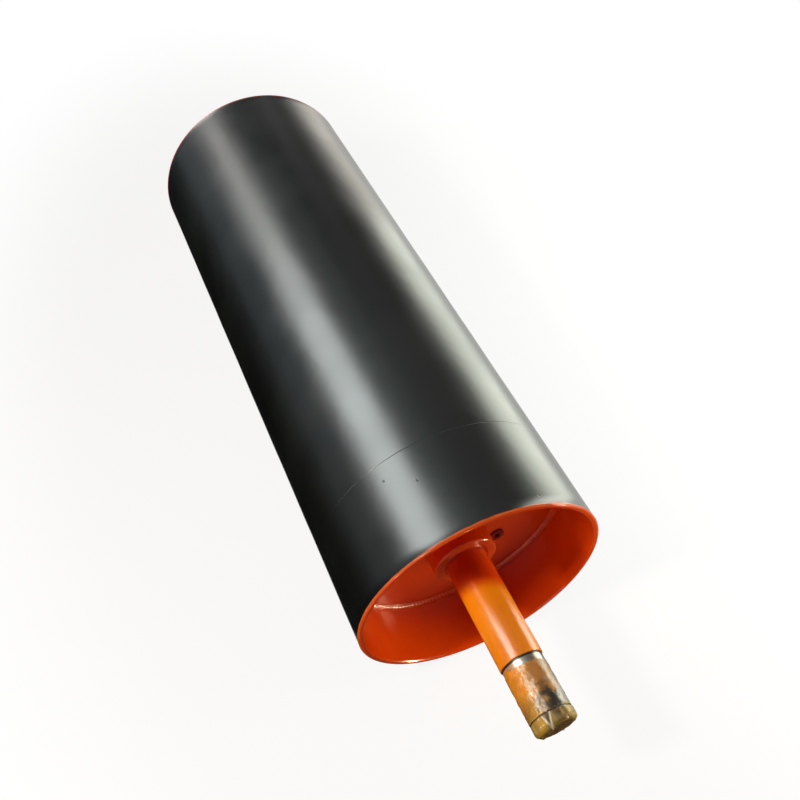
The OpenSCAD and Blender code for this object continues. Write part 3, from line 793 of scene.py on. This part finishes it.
# No turning or extruding gives the wound edge and the pleats, so these are drawn by formula. The edge
# slants, and one corner of it has lifted in a tongue. The pleats are flaps that are wide at the ring groove
# and narrow over the end, and their folds run on to the middle of the end face. The upper side of the
# gathered film stands off the end in a pouch.
# Each pleat has its middle and half width in degrees, and its height.
pleats = ((121, 14, 0.0030), (60, 11, 0.0018), (12, 13, 0.0013),
          (172, 9, 0.0010), (228, 14, 0.0014), (300, 12, 0.0012))
pouch = 0.006
for v in film.data.vertices:
    turn = degrees(atan2(v.co.z, v.co.x)) % 360
    radius = sqrt(v.co.x ** 2 + v.co.z ** 2)
    out = -v.co.y
    near_edge = max(0.0, 1 - (out - film_start) / 0.03)
    tongue = max(0.0, 1 - abs(turn - 157) / 15)
    slanted = 0.0040 * (-cos(radians(turn - 15)) + 1) / 2
    lifted = 0.0075 * tongue ** 2
    wavy = 0.0007 * sin(radians(7 * turn))
    v.co.y += near_edge * (slanted + lifted + wavy)
    gather = max(0.0, min(1.0, (out - groove_outer) / (shaft_end - groove_outer)))
    for middle, half, height in pleats:
        apart = abs((turn - middle + 180) % 360 - 180)
        width = half * (1 - 0.72 * gather)
        fold = max(0.0, 1 - apart / width) ** 0.8 * height
        if radius > face_radius + 0.0005 and out > groove_outer:
            v.co.x += fold * v.co.x / radius
            v.co.z += fold * v.co.z / radius
        elif 0.002 < radius <= face_radius + 0.0005:
            v.co.y -= fold * radius / face_radius
    if out > groove_outer + 0.001:
        upper = (1 + cos(radians(turn - 118))) / 2
        stand_off = min(1.0, max(0.0, (radius - 0.006) / 0.026)) if out > shaft_end else gather
        v.co.y -= pouch * upper * stand_off
        past_steel = max(0.0, gather - 0.66) / 0.34
        if radius > 0.030:
            v.co.x *= 1 - 0.10 * upper * past_steel
            v.co.z *= 1 - 0.10 * upper * past_steel

creases = bpy.data.textures.new("film_creases", "MUSGRAVE")
creases.noise_scale = 0.012
with_modifier(film, "DISPLACE", texture=creases, strength=0.0005, mid_level=0.0, texture_coords="LOCAL")
film_far = copy_to_far_end(film, "journal_film_far")

# Clear polyethylene film over amber grease: glossy and creased. The grease is amber on the left and towards
# the shoulder. Further out a painted dark reflection lies in the middle, and the right side carries a painted
# pale grey reflection.
wrap_film, tree, place = new_material("greased_polyethylene_film")
parts = add(tree, "ShaderNodeSeparateXYZ", i0=place)
out = add(tree, "ShaderNodeMath", {"operation": "ABSOLUTE"}, i0=parts.outputs["Y"])
along = add(tree, "ShaderNodeMapping", Vector=place, Scale=(1.0, 0.4, 1.0))
crease = add(tree, "ShaderNodeTexNoise", Vector=along.outputs[0], Scale=95.0, Detail=4.0,
             Roughness=0.6, Distortion=1.2)
smear = add(tree, "ShaderNodeTexNoise", Vector=place, Scale=42.0, Detail=3.0)
wander = add(tree, "ShaderNodeMapRange", i0=smear.outputs["Fac"], i1=0.3, i2=0.7, i3=-0.12, i4=0.12)
side = add(tree, "ShaderNodeMapRange", i0=parts.outputs["X"], i1=-journal_radius, i2=journal_radius)
side = add(tree, "ShaderNodeMath", {"operation": "ADD", "use_clamp": True}, i0=side.outputs[0],
           i1=wander.outputs[0])
# colours from the journal's left side, at 0, to its right side, at 1: amber grease, with painted reflections
# that are dark in the middle further out and pale grey on the right
grease_and_reflection_stops = {
    "thick": ((0.0, "c8801e"), (0.18, "ea982c"), (0.34, "d09a4a"), (0.50, "b87c34"),
              (0.66, "a8763c"), (0.84, "ac906c"), (1.0, "948c80")),
    "thin": ((0.0, "946c2c"), (0.18, "be8c30"), (0.34, "8a744c"), (0.43, "4c4030"),
             (0.52, "2a241c"), (0.68, "38332a"), (0.77, "b0aa9e"), (1.0, "a8a49c")),
    "over_end": ((0.0, "8c7440"), (0.18, "c09832"), (0.34, "988446"), (0.50, "7a5e28"),
                 (0.66, "8c7236"), (0.84, "b49a58"), (1.0, "b8aa74")),
}
grease_and_reflection_tones = {}
for where, stops in grease_and_reflection_stops.items():
    blend = add(tree, "ShaderNodeValToRGB", i0=side.outputs[0])
    points = blend.color_ramp.elements
    while len(points) < len(stops):
        points.new(0.5)
    for point, (across_journal, colour) in zip(points, stops):
        point.position = across_journal
        point.color = linear(colour)
    grease_and_reflection_tones[where] = blend.outputs["Color"]
shifted = add(tree, "ShaderNodeMath", {"operation": "MULTIPLY_ADD"}, i0=wander.outputs[0], i1=0.12,
              i2=out.outputs[0])
further_out = add(tree, "ShaderNodeMapRange", {"interpolation_type": "SMOOTHSTEP"}, i0=shifted.outputs[0],
              i1=film_start + 0.038, i2=film_start + 0.066)
at_end = add(tree, "ShaderNodeMapRange", {"interpolation_type": "SMOOTHSTEP"}, i0=shifted.outputs[0],
             i1=groove_inner - 0.004, i2=groove_inner + 0.008)
tone = add(tree, "ShaderNodeMix", {"data_type": "RGBA"}, i0=further_out.outputs[0],
           i6=grease_and_reflection_tones["thick"], i7=grease_and_reflection_tones["thin"])
tone = add(tree, "ShaderNodeMix", {"data_type": "RGBA"}, i0=at_end.outputs[0], i6=tone.outputs[2],
           i7=grease_and_reflection_tones["over_end"])
# the flap is darker grey between its two folded edges, which carry painted highlights and run together at the
# end
turn = add(tree, "ShaderNodeMath", {"operation": "ARCTAN2"}, i0=parts.outputs["Z"], i1=parts.outputs["X"])
apart = add(tree, "ShaderNodeMath", {"operation": "SUBTRACT"}, i0=turn.outputs[0], i1=radians(116))
apart = add(tree, "ShaderNodeMath", {"operation": "ABSOLUTE"}, i0=apart.outputs[0])
flap = add(tree, "ShaderNodeMapRange", i0=out.outputs[0], i1=groove_outer, i2=shaft_end + 0.004,
           i3=radians(11), i4=radians(1.5))
on_end = add(tree, "ShaderNodeMath", {"operation": "GREATER_THAN"}, i0=out.outputs[0], i1=groove_outer)
between = add(tree, "ShaderNodeMath", {"operation": "LESS_THAN"}, i0=apart.outputs[0], i1=flap.outputs[0])
between = add(tree, "ShaderNodeMath", {"operation": "MULTIPLY"}, i0=between.outputs[0], i1=on_end.outputs[0])
between = add(tree, "ShaderNodeMath", {"operation": "MULTIPLY"}, i0=between.outputs[0], i1=0.7)
tone = add(tree, "ShaderNodeMix", {"data_type": "RGBA"}, i0=between.outputs[0], i6=tone.outputs[2],
           i7=linear("4c4638"))
apart = add(tree, "ShaderNodeMath", {"operation": "SUBTRACT"}, i0=apart.outputs[0], i1=flap.outputs[0])
apart = add(tree, "ShaderNodeMath", {"operation": "ABSOLUTE"}, i0=apart.outputs[0])
fold_highlight = add(tree, "ShaderNodeMapRange", i0=apart.outputs[0], i1=radians(1.4), i2=radians(3.2),
             i3=0.85, i4=0.0)
fold_highlight = add(tree, "ShaderNodeMath", {"operation": "MULTIPLY"}, i0=fold_highlight.outputs[0], i1=on_end.outputs[0])
tone = add(tree, "ShaderNodeMix", {"data_type": "RGBA"}, i0=fold_highlight.outputs[0], i6=tone.outputs[2],
           i7=linear("f0e2cc"))
from_groove = add(tree, "ShaderNodeMath", {"operation": "COMPARE"}, i0=out.outputs[0],
                  i1=(groove_inner + groove_outer) / 2, i2=0.0015)
shaded = add(tree, "ShaderNodeMath", {"operation": "MULTIPLY"}, i0=from_groove.outputs[0], i1=0.8)
tone = add(tree, "ShaderNodeMix", {"data_type": "RGBA"}, i0=shaded.outputs[0], i6=tone.outputs[2],
           i7=linear("1c160c"))
facing = add(tree, "ShaderNodeSeparateXYZ", i0=add(tree, "ShaderNodeNewGeometry").outputs["Normal"])
end_on = add(tree, "ShaderNodeMath", {"operation": "ABSOLUTE"}, i0=facing.outputs["Y"])
on_face = add(tree, "ShaderNodeMapRange", i0=end_on.outputs[0], i1=0.75, i2=0.98, i3=0.0, i4=0.75)
tone = add(tree, "ShaderNodeMix", {"data_type": "RGBA"}, i0=on_face.outputs[0], i6=tone.outputs[2],
           i7=linear("86642c"))
# where the film turns away it is seen at a slant, through more of its grease
slant = add(tree, "ShaderNodeLayerWeight", Blend=0.5)
slant = add(tree, "ShaderNodeMapRange", i0=slant.outputs["Facing"], i1=0.80, i2=0.97, i3=0.0, i4=0.7)
tone = add(tree, "ShaderNodeMix", {"data_type": "RGBA"}, i0=slant.outputs[0], i6=tone.outputs[2],
           i7=linear("3c2a14"))
crease_bump = add(tree, "ShaderNodeBump", Height=crease.outputs["Fac"], Strength=0.6, Distance=0.0018)
cover_share = add(tree, "ShaderNodeMapRange", i0=crease.outputs["Fac"], i1=0.3, i2=0.6, i3=0.82, i4=1.0)
film_shader = add(tree, "ShaderNodeBsdfPrincipled", Base_Color=tone.outputs[2], Roughness=0.22, IOR=1.48,
                  Alpha=cover_share.outputs[0], Normal=crease_bump.outputs[0])
add(tree, "ShaderNodeOutputMaterial", Surface=film_shader.outputs[0])
dress(film, "shaft_steel", [wrap_film])
dress(film_far, "shaft_steel", [wrap_film])
